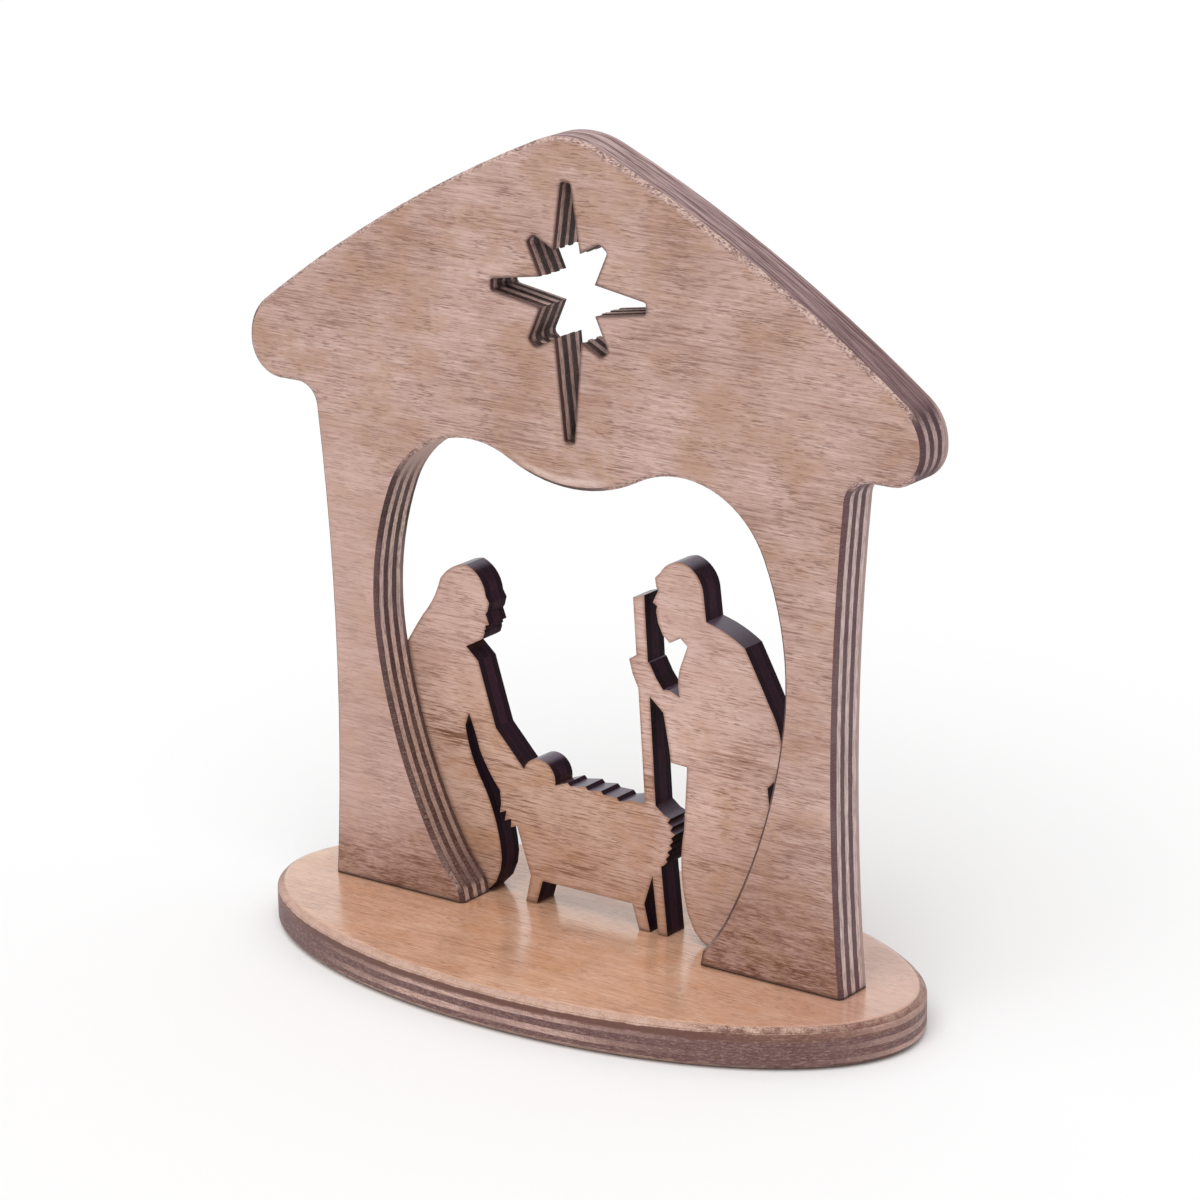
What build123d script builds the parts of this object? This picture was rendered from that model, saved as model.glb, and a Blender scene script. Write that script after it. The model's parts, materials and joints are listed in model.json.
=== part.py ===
from build123d import *
from math import atan2, cos, pi, radians, sin, tan
import os

# A table-top nativity stable of birch plywood. A stable front with a star and an arched
# opening stands on an oval base, and one flat cut-out of figures is glued behind the opening.
# X runs across the front, Y goes back from it, Z is up, in millimetres.
# The origin is the middle of the underside of the base.

# Plywood of the base and the stable: two face veneers with crossed veneers between them
FACE_VENEER = 1.0
CORE_VENEER = 1.4
CORE_COUNT = 5

# Thinner plywood of the figures
FIGURE_FACE_VENEER = 1.9
FIGURE_CORE_VENEER = 2.2
FIGURE_CORE_COUNT = 1

# Oval base
BASE_LENGTH = 156.8
BASE_DEPTH = 78.4
BASE_RIM_EASING = 1.3

# Roof of the stable front: a round apex, bowed slopes and blunt eaves that overhang the posts
STABLE_HEIGHT = 167.0
STABLE_EDGE_EASING = 0.8
APEX_ROUNDING = 20.3
APEX_PITCH = 23.0
EAVE_REACH = 83.6
EAVE_TOP_DROP = 46.1
EAVE_DEPTH = 13.4
EAVE_TOP_ROUNDING = 10.5
EAVE_FLAT = 0.6
EAVE_OVERHANG = 16.8
EAVE_INNER_ROUNDING = 5.0

# Waisted posts: the waist and the foot stand in from the head of the post
POST_WAIST = 3.6
WAIST_HEIGHT = 45.0
FOOT_SETBACK = 1.8
FOOT_WIDTH = 34.7
TOE_HEIGHT = 3.0
TOE_SLANT = 0.6
TOE_ROUNDING = 2.5
# Inside of the foot, out from its toe and up from the base
INSTEP = (6.9, 11.8)

# Arched opening with two lobes: a dip hangs between them, under the star
BRIDGE_UNDER_STAR = 9.7
DIP_HALF_WIDTH = 16.2
DIP_DEPTH = 4.0
POST_WIDTH = 16.0
JAMB_BELOW_DIP = 40.6
LOBE_SHOULDER_IN = 4.4
LOBE_SHOULDER_BELOW_DIP = 7.0

# Star cut through the gable, with the blunt tips that the cutter leaves
STAR_DROP = 32.0
STAR_TOP_RAY = 23.0
STAR_SIDE_RAY = 19.2
STAR_FOOT_RAY = 30.1
STAR_SHORT_RAY = 14.1
STAR_SHORT_ANGLE = 50.0
STAR_STEEP_NOTCH = 9.6
STAR_FLAT_NOTCH = 7.5
STAR_TIP_WIDTH = 2.4

# Flat loose tenon, one to a foot, that holds the stable to the base
TENON_WIDTH = 15.0
TENON_THICKNESS = 3.0
TENON_IN_BASE = 5.5
TENON_IN_FOOT = 9.0
TENON_FIT = 0.05
TENON_END_ROOM = 0.5

# Plain side views of a head, in face heights: out from the face and down from the brow
FACE_PROFILE = [(0.03, -0.28), (0.02, 0.0), (-0.02, 0.1), (0.17, 0.38), (0.04, 0.46), (0.08, 0.55),
                (0.04, 0.62), (0.07, 0.69), (0.05, 0.88), (-0.06, 1.0)]
BEARD_PROFILE = [(0.03, -0.2), (0.02, 0.0), (-0.02, 0.1), (0.16, 0.38), (0.05, 0.46), (0.09, 0.58),
                 (0.07, 0.85), (-0.04, 1.14), (-0.2, 1.3), (-0.5, 1.16)]

# Kneeling mother, as distance across from the middle and height above the base
MOTHER_BROW = (-29.2, 62.3)
MOTHER_FACE_HEIGHT = 7.0
MOTHER_BOW = 14.0
MOTHER_VEIL_AND_BACK = [(-29.4, 65.6), (-31.0, 69.4), (-34.4, 71.6), (-38.1, 70.4), (-41.4, 67.3),
                        (-43.1, 63.2), (-46.2, 58.8), (-50.2, 52.8), (-54.8, 45.0), (-57.5, 33.0),
                        (-57.6, 16.0), (-56.0, 0.0)]
MOTHER_HEM = [(-31.0, 0.0), (-28.4, 2.6), (-27.1, 5.6)]
MOTHER_ROBE_FRONT = [(-26.7, 8.2), (-27.6, 14.4), (-31.3, 24.1), (-34.6, 31.5), (-35.6, 36.2), (-34.6, 39.0)]
MOTHER_ARM_UNDER = [(-33.6, 36.6), (-31.9, 31.4), (-29.1, 26.4), (-26.8, 23.4)]
MOTHER_HAND = (-20.3, 29.4)
MOTHER_WRIST = (-27.5, 37.1)
MOTHER_CHEST = [(-30.1, 45.4), (-31.8, 51.0), (-34.9, 53.7)]

# Standing father with a beard, who holds the staff
FATHER_BROW = (14.5, 75.2)
FATHER_FACE_HEIGHT = 9.0
FATHER_BOW = 6.0
FATHER_HEAD = [(15.3, 78.2), (17.4, 80.3), (20.6, 81.3), (24.0, 79.6), (26.0, 75.4), (26.6, 69.8)]
FATHER_BACK = [(31.9, 68.1), (36.0, 65.9), (38.4, 61.5), (42.0, 54.6), (44.6, 48.0), (44.8, 43.0),
               (43.2, 39.4)]
FATHER_ROBE_BACK = [(41.3, 37.4), (42.3, 28.0), (43.8, 13.0), (45.0, 0.0)]
FATHER_HEM = [(27.0, 0.0), (24.8, 0.8), (22.9, 2.8)]
FATHER_ROBE_FRONT = [(21.4, 6.0), (19.9, 14.0), (20.6, 24.3), (21.5, 38.0)]
FATHER_SLEEVE = [(17.5, 38.2), (16.5, 44.5), (15.7, 48.6), (12.6, 51.2)]
FATHER_HAND = [(9.4, 52.9), (8.1, 55.6), (7.3, 58.6), (9.4, 59.9), (12.4, 58.6)]
FATHER_FOREARM = [(14.0, 55.7), (15.7, 53.5), (17.2, 53.7), (19.9, 52.6)]
FATHER_CHEST = [(19.5, 55.2), (20.0, 58.9), (21.9, 63.8)]

# Staff from its slanted top past its slight bend to its foot, down one side and up the other
STAFF_OUTLINE = [(8.5, 71.9), (10.8, 28.0), (13.8, 0.0), (16.1, 0.0), (13.5, 28.0), (11.3, 72.8)]

# Manger, about its own middle
MANGER_MIDDLE = -4.4
TROUGH_TOP = (18.1, 16.3)
TROUGH_BOTTOM = (14.7, 6.0)
LEG_INNER_TOP = (11.6, 5.4)
LEG_FOOT_OUTER = 16.1
LEG_FOOT_INNER = 13.3

# Hay heaped in the manger, with straws that stick out at its ends
HAY_TOP = [(-12.5, 27.3), (-9.0, 28.6), (-8.3, 28.0), (-4.4, 28.7), (-3.7, 28.0), (-0.4, 28.5), (0.3, 27.8),
           (3.6, 27.9), (4.3, 27.2), (7.0, 27.9), (13.4, 28.2)]
HAY_LEFT_END = (-26.6, 20.6)
HAY_RIGHT_START = (15.5, 26.6)
HAY_RIGHT_END = (15.3, 15.4)
STRAW_LEAN = 0.35
# How far each straw sticks out, and how far the gap after it does
LEFT_STRAWS = [(1.6, 0.2), (1.9, 0.0), (1.7, 0.0)]
RIGHT_STRAWS = [(1.7, 1.0), (2.3, 1.7), (2.9, 1.9), (2.4, 1.5), (2.1, 1.0), (1.5, 0.6), (1.0, 0.0)]

# Head of the child on the hay
CHILD_HEAD = (-16.3, 28.2)
CHILD_HEAD_RADIUS = 4.15

BOARD = 2 * FACE_VENEER + CORE_COUNT * CORE_VENEER
FIGURE_BOARD = 2 * FIGURE_FACE_VENEER + FIGURE_CORE_COUNT * FIGURE_CORE_VENEER
BASE_TOP = BOARD
STABLE_FRONT = -BOARD / 2
STABLE_BACK = BOARD / 2


def glue_lines(face, core, count):
    """Depths of the glue lines between the veneers of a board."""
    return [face + core * number for number in range(count + 1)]


def upright_board(outline, front, thickness):
    """Board standing on the base, from an outline drawn across and up from the base."""
    plane = Plane((0, front, BASE_TOP), x_dir=(1, 0, 0), z_dir=(0, -1, 0))
    return extrude(plane * outline, amount=-thickness)


def cut_into_veneers(board, first_face, depths):
    """Part a finished board along its glue lines, from its first face on."""
    veneers = []
    rest = board
    for depth in depths:
        glue_line = first_face.offset(depth)
        veneers.append(split(rest, bisect_by=glue_line, keep=Keep.BOTTOM))
        rest = split(rest, bisect_by=glue_line, keep=Keep.TOP)
    return veneers + [rest]


def veneer_names(board, first, last, core_count):
    """Names of a board's veneers from its first face to its last."""
    cores = [f"{board}_core_ply_{number}" for number in range(1, core_count + 1)]
    return [f"{board}_{first}_veneer", *cores, f"{board}_{last}_veneer"]


def star_outline():
    """Eight-pointed star, each ray a tapered slot with a blunt tip."""
    centre = Vector(0, STABLE_HEIGHT - STAR_DROP)
    short = STAR_SHORT_ANGLE
    rays = [(0, STAR_SIDE_RAY), (short, STAR_SHORT_RAY), (90, STAR_TOP_RAY),
            (180 - short, STAR_SHORT_RAY), (180, STAR_SIDE_RAY), (180 + short, STAR_SHORT_RAY),
            (270, STAR_FOOT_RAY), (360 - short, STAR_SHORT_RAY)]

    def from_centre(angle, reach, aside=0.0):
        return centre + Vector(reach, aside).rotate(Axis.Z, angle)

    points = []
    for (angle, reach), (next_angle, _) in zip(rays, rays[1:] + rays[:1]):
        points += [from_centre(angle, reach, side * STAR_TIP_WIDTH / 2) for side in (-1, 1)]
        between = angle + (next_angle - angle) % 360 / 2
        beside_upright = {angle, next_angle} & {90, 270}
        points.append(from_centre(between, STAR_STEEP_NOTCH if beside_upright else STAR_FLAT_NOTCH))
    return make_face(Polyline(*points, close=True))


def round_pair(face, corner, radius):
    """Round a corner and its mirror image on a symmetrical outline."""
    sides = [(side * corner[0], corner[1]) for side in (-1, 1)]
    return fillet([face.vertices().sort_by_distance(side)[0] for side in sides], radius)


def arc_across(half_width, end_height, middle_height):
    """Arc from side to side over the middle of the stable."""
    return ThreePointArc((-half_width, end_height), (0, middle_height), (half_width, end_height))


def arcs_in_line(before, points):
    """Arcs from the end of a curve through the points, each in line with the one before it."""
    arcs = []
    for point in points:
        before = TangentArc(before @ 1, point, tangent=before % 1)
        arcs.append(before)
    return arcs


def arcs_through(points):
    """Arcs through points, each over two steps, and a straight line over a step that is left."""
    edges = [ThreePointArc(*points[first:first + 3]) for first in range(0, len(points) - 2, 2)]
    if len(points) % 2 == 0:
        edges.append(Line(*points[-2:]))
    return edges


def post_places():
    """Distances across of the head of a post, the outside of its foot and the toe."""
    head = EAVE_REACH - EAVE_OVERHANG
    foot = head - FOOT_SETBACK
    return head, foot, foot - FOOT_WIDTH


def stable_outline():
    """Gable roof with blunt eaves on two waisted posts around an arched opening."""
    head, foot, toe = post_places()
    pitch = radians(APEX_PITCH)
    eave_top = (EAVE_REACH, STABLE_HEIGHT - EAVE_TOP_DROP)
    eave_tip = (EAVE_REACH, eave_top[1] - EAVE_DEPTH)
    eave_inner = (head, eave_tip[1])
    toe_top = (toe + TOE_SLANT, TOE_HEIGHT)
    dip = STABLE_HEIGHT - STAR_DROP - STAR_FOOT_RAY - BRIDGE_UNDER_STAR
    jamb = head - POST_WIDTH

    apex_curve = arc_across(APEX_ROUNDING * sin(pitch), STABLE_HEIGHT - APEX_ROUNDING * (1 - cos(pitch)),
                            STABLE_HEIGHT)
    slope = arcs_in_line(apex_curve, [eave_top])
    dip_curve = arc_across(DIP_HALF_WIDTH, dip + DIP_DEPTH, dip)
    opening_side = arcs_in_line(dip_curve, [
        (jamb - LOBE_SHOULDER_IN, dip - LOBE_SHOULDER_BELOW_DIP),
        (jamb, dip - JAMB_BELOW_DIP),
        (toe + INSTEP[0], INSTEP[1]),
        toe_top,
    ])
    side = Curve() + [
        *slope,
        Polyline(eave_top, eave_tip, eave_inner),
        ThreePointArc(eave_inner, (head - POST_WAIST, WAIST_HEIGHT), (foot, 0)),
        Polyline((foot, 0), (toe, 0), toe_top),
        *opening_side,
    ]
    face = make_face([apex_curve, dip_curve, *side.edges(), *mirror(side, about=Plane.YZ).edges()])

    run_out = slope[-1] % 1
    top_turn = pi / 2 + atan2(run_out.Y, run_out.X)
    tip_rounding = EAVE_DEPTH - EAVE_TOP_ROUNDING * tan(top_turn / 2) - EAVE_FLAT
    face = round_pair(face, eave_top, EAVE_TOP_ROUNDING)
    face = round_pair(face, eave_tip, tip_rounding)
    face = round_pair(face, eave_inner, EAVE_INNER_ROUNDING)
    face = round_pair(face, toe_top, TOE_ROUNDING)
    return face - star_outline()


def face_points(profile, brow, height, bow, facing):
    """Side view of a face from its forehead down, bowed forward, facing +1 right or -1 left."""
    turn = radians(bow)
    return [(brow[0] + facing * height * (out * cos(turn) - down * sin(turn)),
             brow[1] - height * (out * sin(turn) + down * cos(turn))) for out, down in profile]


def mother_outline():
    face = face_points(FACE_PROFILE, MOTHER_BROW, MOTHER_FACE_HEIGHT, MOTHER_BOW, 1)
    return make_face([
        Polyline(*face[::-1], MOTHER_VEIL_AND_BACK[0]),
        *arcs_through(MOTHER_VEIL_AND_BACK),
        Polyline(MOTHER_VEIL_AND_BACK[-1], *MOTHER_HEM, MOTHER_ROBE_FRONT[0]),
        *arcs_through(MOTHER_ROBE_FRONT),
        *arcs_through([MOTHER_ROBE_FRONT[-1], *MOTHER_ARM_UNDER]),
        Polyline(MOTHER_ARM_UNDER[-1], MOTHER_HAND, MOTHER_WRIST),
        *arcs_through([MOTHER_WRIST, *MOTHER_CHEST]),
        Line(MOTHER_CHEST[-1], face[-1]),
    ])


def father_outline():
    face = face_points(BEARD_PROFILE, FATHER_BROW, FATHER_FACE_HEIGHT, FATHER_BOW, -1)
    return make_face([
        Polyline(*face[::-1], FATHER_HEAD[0]),
        *arcs_through(FATHER_HEAD),
        *arcs_through([FATHER_HEAD[-1], *FATHER_BACK]),
        Line(FATHER_BACK[-1], FATHER_ROBE_BACK[0]),
        *arcs_through(FATHER_ROBE_BACK),
        Polyline(FATHER_ROBE_BACK[-1], *FATHER_HEM, FATHER_ROBE_FRONT[0]),
        *arcs_through(FATHER_ROBE_FRONT),
        Line(FATHER_ROBE_FRONT[-1], FATHER_SLEEVE[0]),
        *arcs_through(FATHER_SLEEVE),
        Polyline(FATHER_SLEEVE[-1], *FATHER_HAND, *FATHER_FOREARM),
        *arcs_through([FATHER_FOREARM[-1], *FATHER_CHEST]),
        Line(FATHER_CHEST[-1], face[-1]),
    ])


def staff_outline():
    return make_face(Polyline(*STAFF_OUTLINE, close=True))


def manger_outline():
    """Trough that widens upwards on two splayed legs."""
    half = make_face(Polyline(
        (0, LEG_INNER_TOP[1]), LEG_INNER_TOP, (LEG_FOOT_INNER, 0), (LEG_FOOT_OUTER, 0),
        TROUGH_BOTTOM, TROUGH_TOP, (0, TROUGH_TOP[1]), close=True))
    return Pos(MANGER_MIDDLE, 0) * (half + mirror(half, about=Plane.YZ))


def straws(start, end, reaches):
    """Points of straws that stick out to the left of the way from start to end."""
    root = Vector(*start)
    step = (Vector(*end) - root) / len(reaches)
    out = step.normalized().rotate(Axis.Z, 90)
    points = [root]
    for straw, gap in reaches:
        points += [root + step * STRAW_LEAN + out * straw, root + step + out * gap]
        root += step
    return points


def hay_outline():
    """Heap of hay that fills the trough, under the hands and the head of the child."""
    trough_left = (MANGER_MIDDLE - TROUGH_TOP[0], TROUGH_TOP[1])
    trough_middle = (MANGER_MIDDLE, TROUGH_BOTTOM[1])
    return make_face([
        Polyline(trough_middle, *straws(trough_left, HAY_LEFT_END, LEFT_STRAWS), MOTHER_ARM_UNDER[-1],
                 MOTHER_HAND, HAY_TOP[0]),
        Polyline(*HAY_TOP, *straws(HAY_RIGHT_START, HAY_RIGHT_END, RIGHT_STRAWS), trough_middle),
    ])


def child_outline():
    return Pos(*CHILD_HEAD) * Circle(CHILD_HEAD_RADIUS)


def figures_outline():
    """The whole group as one cut-out: the arm, the hay and the staff join it together."""
    group = mother_outline() + manger_outline() + hay_outline() + child_outline()
    return group + staff_outline() + father_outline()


def tenon_places():
    """Name and distance across of each tenon, in the middle of its foot."""
    _, foot, toe = post_places()
    middle = (foot + toe) / 2
    return {"tenon_left": -middle, "tenon_right": middle}


def tenon(across, fit=0.0, end_room=0.0):
    """Tenon from the base into a foot, or its mortise with a fit all round and room at the ends."""
    below = TENON_IN_BASE + end_room
    above = TENON_IN_FOOT + end_room
    peg = Box(TENON_WIDTH + 2 * fit, TENON_THICKNESS + 2 * fit, below + above)
    return Pos(across, 0, BASE_TOP + (above - below) / 2) * peg


def base_board(mortises):
    board = extrude(Ellipse(BASE_LENGTH / 2, BASE_DEPTH / 2), BOARD)
    rims = board.edges().group_by(Axis.Z)
    return chamfer(rims[0] + rims[-1], BASE_RIM_EASING) - mortises


def stable_board(mortises):
    """Stable front with its front edges eased, but for those of its feet and its star."""
    board = upright_board(stable_outline(), STABLE_FRONT, BOARD)
    edges = board.faces().sort_by(Axis.Y)[0].outer_wire().edges()
    feet = edges.group_by(Axis.Z)[0]
    return chamfer([edge for edge in edges if edge not in feet], STABLE_EDGE_EASING) - mortises


def figures_board():
    return upright_board(figures_outline(), STABLE_BACK, FIGURE_BOARD)


def all_pieces():
    """Every veneer and tenon of the object by name."""
    tenons = tenon_places()
    mortises = [tenon(across, TENON_FIT, TENON_END_ROOM) for across in tenons.values()]
    base_top_face = Plane((0, 0, BASE_TOP), z_dir=(0, 0, -1))
    stable_front_face = Plane((0, STABLE_FRONT, 0), z_dir=(0, 1, 0))
    figures_front_face = Plane((0, STABLE_BACK, 0), z_dir=(0, 1, 0))
    board_lines = glue_lines(FACE_VENEER, CORE_VENEER, CORE_COUNT)
    figure_lines = glue_lines(FIGURE_FACE_VENEER, FIGURE_CORE_VENEER, FIGURE_CORE_COUNT)

    pieces = dict(zip(veneer_names("base", "top", "bottom", CORE_COUNT),
                      cut_into_veneers(base_board(mortises), base_top_face, board_lines)))
    pieces |= zip(veneer_names("stable", "front", "back", CORE_COUNT),
                  cut_into_veneers(stable_board(mortises), stable_front_face, board_lines))
    pieces |= zip(veneer_names("figures", "front", "back", FIGURE_CORE_COUNT),
                  cut_into_veneers(figures_board(), figures_front_face, figure_lines))
    pieces |= {name: tenon(across) for name, across in tenons.items()}
    return pieces


os.makedirs("parts", exist_ok=True)
for piece_name, piece in all_pieces().items():
    export_step(piece, os.path.join("parts", f"{piece_name}.step"))
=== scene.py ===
"""Looks of a table-top nativity stable cut from birch plywood.

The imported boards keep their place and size. This script rounds their eased edges, gives every board its
stained, varnished or scorched finish, and sets up the floor, the soft light and the camera.
"""

import json
import math

import bpy
from mathutils import Matrix, Vector


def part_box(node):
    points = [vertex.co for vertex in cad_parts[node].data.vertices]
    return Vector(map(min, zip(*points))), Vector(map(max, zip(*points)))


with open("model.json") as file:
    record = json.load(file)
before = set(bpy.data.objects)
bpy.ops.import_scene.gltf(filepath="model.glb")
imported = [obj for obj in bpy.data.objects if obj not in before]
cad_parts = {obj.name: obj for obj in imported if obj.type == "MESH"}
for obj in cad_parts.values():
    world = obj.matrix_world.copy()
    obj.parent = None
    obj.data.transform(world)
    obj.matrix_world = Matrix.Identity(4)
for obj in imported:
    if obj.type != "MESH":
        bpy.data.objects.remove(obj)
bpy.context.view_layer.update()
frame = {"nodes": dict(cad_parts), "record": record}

MM = 0.001
AXIS_X = (1.0, 0.0, 0.0)
AXIS_Y = (0.0, 1.0, 0.0)
AXIS_Z = (0.0, 0.0, 1.0)
ON_THE_FACE = (1.0, 0.0, 1.0)

# Camera at the photograph's viewing angle: degrees, millimetres, and pixels of its 1200 pixel frame
CAMERA_AZIMUTH = 36.79
CAMERA_ELEVATION = 17.33
CAMERA_ROLL = -0.933
CAMERA_DISTANCE = 940.8
CAMERA_TARGET = (3.54, 0.0, 80.62)
FOCAL_PIXELS = 4657.1
FRAME_PIXELS = 1200
SENSOR_WIDTH = 36.0

# Light: an even white room and one wide lamp high in front
ROOM_LIGHT = 0.66
LAMP_STRENGTH = 1.5
LAMP_AZIMUTH = 20.0
LAMP_ELEVATION = 58.0
LAMP_SPREAD = 50.0
FLOOR_WHITE = 0.95
FLOOR_HALF = 4.0
FLOOR_GAP = 0.1 * MM

# Rounding of the edges that a sander or a cutter leaves soft
ROUNDING = 1.0 * MM
ROUNDING_STEPS = 3
STABLE_FRONT_ROUNDING = 0.5 * MM
UPRIGHT_EDGE_SHARE = 0.35
STABLE_BACK_ROUNDING = 0.45 * MM
BASE_ROUNDING = 0.75 * MM
FIGURE_ROUNDING = 0.1 * MM
STAR_CORNER_ROUNDING = 0.14 * MM
STAR_TIP_ROUNDING = 0.95 * MM
STAR_TIPS_FROM = 12.0 * MM
# How far two faces turn at an edge, in degrees: flat, kept crisp, and the two ends of an eased border
FLAT_TURN = 0.5
CRISP_TURN = 25
EASED_TURN = 30
SQUARE_TURN = 60
WELD_DISTANCE = 0.002 * MM
LEVEL_PLAY = 0.02 * MM

# The star's surroundings: a diamond about a point below its middle
STAR_LOW = 3.5 * MM
STAR_HALF_WIDTH = 22.0 * MM
STAR_HALF_HEIGHT = 27.5 * MM
STAR_BORDER = 1.12
STAR_BORDER_BLUR = 0.04
# How far the cutter leaves each kind of veneer standing in or out of the star's walls
STAR_VENEER_IN = 0.16 * MM
STAR_VENEER_OUT = -0.12 * MM

# The right slope of the roof is part of this circle, and its front edge is torn from here to there
SLOPE_MIDDLE = (-124.3 * MM, 0.0, -137.1 * MM)
SLOPE_RADIUS = 338.4 * MM
TORN_FROM = 7.0 * MM
TORN_TO = 76.0 * MM
TORN_FADE = 5.0 * MM
TORN_WIDTH = 1.9 * MM
TORN_FULL = 0.4 * MM
# The dip of the opening is part of this circle, and beside it the face is painted paler: sanded wear with a
# painted highlight where the rounded edge catches the light
DIP_MIDDLE = (0.0, 0.0, 139.0 * MM)
DIP_RADIUS = 34.8 * MM
DIP_TOP = 116.0 * MM
DIP_FADE = 6.0 * MM
DIP_HALF_WIDTH = 16.2 * MM
DIP_SANDED = 2.4 * MM
DIP_SANDED_BLUR = 0.5 * MM
DIP_SANDED_LEFT = 2.0 * MM
DIP_EDGE = 0.2 * MM

# Where a finish changes, from the place where the change starts to the place where it is complete
PALE_POST_ACROSS = (-38.0 * MM, -58.0 * MM)
PALE_POST_UP = (120.0 * MM, 95.0 * MM)
DEEPER_STAIN_ACROSS = (-30.0 * MM, 40.0 * MM)
BETWEEN_POSTS = (53.0 * MM, 49.0 * MM)
# EAVE_ENDS is where the painted shade at the ends of the eaves comes in
EAVE_ENDS = (66.0 * MM, 74.0 * MM)
OPENING_UP = (125.0 * MM, 118.0 * MM)
LOW_WALL_UP = (72.0 * MM, 36.0 * MM)
GRITTY_RIM_ACROSS = (30.0 * MM, 55.0 * MM)
PINKER_TOP_ACROSS = (35.0 * MM, 78.0 * MM)
PINKER_FIGURES_ACROSS = (-5.0 * MM, 16.0 * MM)
UPPER_FIGURES_UP = (40.0 * MM, 66.0 * MM)
# The foot stain's top on the left and on the right, and where it is full, above the top of the base
FOOT_STAIN_LEFT = 20.0 * MM
FOOT_STAIN_RIGHT = 38.0 * MM
FOOT_STAIN_FULL = 2.0 * MM
# The darker foot of the figures, and the dark seam under the stable (a glue line with a painted shadow of
# the gap), above the top of the base
FIGURES_FOOT_TOP = 42.0 * MM
FIGURES_FOOT_FULL = 4.0 * MM
SEAM_TOP = 0.6 * MM
SEAM_FULL = 0.2 * MM
# The rim's border below the varnished top, and the worn back edge of the stable, as depths
UNDER_TOP_START = 3.0 * MM
UNDER_TOP_END = 2.6 * MM
RAGGED_BORDER = 1.6 * MM
WORN_BACK_START = 1.2 * MM
WORN_BACK_END = 0.8 * MM
BURNT_FRONT_BLUR = 0.2 * MM

# How far the scorching of an edge and the painted shade in a corner reach, and how deep the grain stands
SCORCH_REACH = 0.9 * MM
CORNER_REACH = 2.0 * MM
BASE_CORNER_REACH = 1.5 * MM
STABLE_RELIEF = 0.08 * MM
FINE_RELIEF = 0.06 * MM
# Moves the figures' grain, so that their board differs from the stable's
FIGURES_GRAIN_SHIFT = (0.37, 0.21, 0.0)
# The part of a turn, as a sine, over which a cut across the board turns from long grain to end grain
PLAIN_TURN = dict(turn_start=0.2, turn_end=0.82)
RIM_TURN = dict(turn_start=0.05, turn_end=0.42)


def span(node, axis):
    """Where a node starts and ends along an axis, 0 to 2."""
    low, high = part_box(node)
    return low[axis], high[axis]


STABLE_FRONT, STABLE_FRONT_GLUE = span("stable_front_veneer", 1)
STABLE_CORE_START, STABLE_CORE_END = span("stable_core_ply_1", 1)
STABLE_BACK = span("stable_back_veneer", 1)[1]
BASE_TOP_GLUE, BASE_TOP = span("base_top_veneer", 2)
BASE_CORE_START, BASE_CORE_END = span("base_core_ply_1", 2)
BASE_BOTTOM = span("base_bottom_veneer", 2)[0]
FIGURES_FRONT, FIGURES_FRONT_GLUE = span("figures_front_veneer", 1)
FIGURES_CORE_START, FIGURES_CORE_END = span("figures_core_ply_1", 1)
FIGURES_BACK = span("figures_back_veneer", 1)[1]
STAR_BOX = next(o["box_m"] for o in frame["record"]["physics"]["openings"] if o["name"] == "star_middle")
STAR_MIDDLE = (Vector(STAR_BOX[0]) + Vector(STAR_BOX[1])) / 2
STAR_SPREAD = (1 / STAR_HALF_WIDTH, 0.0, 1 / STAR_HALF_HEIGHT)


def paint(red, green, blue):
    """A colour as it should look on screen (0 to 255), as the linear value that a shader takes."""
    def linear(value):
        share = value / 255.0
        return share / 12.92 if share <= 0.04045 else ((share + 0.055) / 1.055) ** 2.4
    return (linear(red), linear(green), linear(blue), 1.0)


# Stained birch of the stable's faces, and what changes it
STABLE_FACE = dict(dark=paint(155, 119, 106), middle=paint(189, 155, 144), light=paint(208, 177, 167),
                   warm=paint(177, 140, 116), pore=paint(110, 76, 64))
PALE_POST = paint(207, 173, 162)
FOOT_STAIN = paint(110, 67, 45)
EDGE_SINGE = paint(112, 84, 80)
STAR_SINGE = paint(66, 46, 44)
# Sanded wear with a painted highlight beside the dip
DIP_SANDED_HIGHLIGHT = paint(224, 199, 188)
# Painted shade on the downward-facing edge under the dip
DIP_UNDERSIDE_SHADE = paint(74, 52, 56)
TEAR_PALE, TEAR_CHIP = paint(210, 178, 168), paint(118, 88, 80)
BAND_PALE, BAND_CHIP = paint(216, 186, 175), paint(118, 88, 82)
# Painted shade for the corners where another board stands close
CORNER_SHADE = paint(78, 54, 48)
# A glue line with a painted shadow of the gap under the stable
SEAM_GLUE_AND_SHADOW = paint(58, 40, 34)

# The stable's veneers on the cut edges: light along the grain, dark on end grain
OUTSIDE_LIGHT, OUTSIDE_DARK = paint(216, 192, 187), paint(84, 54, 58)
# At the ends of the eaves both plies are painted darker, as painted shade
EAVE_SHADED_LIGHT_PLY, EAVE_SHADED_DARK_PLY = paint(188, 160, 156), paint(62, 36, 44)
INSIDE_LIGHT, INSIDE_DARK = paint(220, 191, 180), paint(46, 23, 27)
LOW_WALL_LIGHT, LOW_WALL_DARK = paint(216, 186, 172), paint(70, 43, 40)
STAR_LIGHT, STAR_DARK = paint(216, 183, 174), paint(28, 9, 11)
STABLE_GLUE = paint(66, 43, 44)
WORN_BACK = paint(196, 168, 160)
OVERHEAD_PALE = paint(208, 178, 168)
BURNT_FRONT = paint(90, 57, 51)
# Dusty streaks on the roof: the dark and the pale ones, on its steeper and on its flatter stretch
STEEP_DARK, FLAT_DARK = paint(88, 58, 60), paint(122, 94, 94)
STEEP_PALE, FLAT_PALE = paint(146, 116, 118), paint(196, 170, 168)

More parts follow.
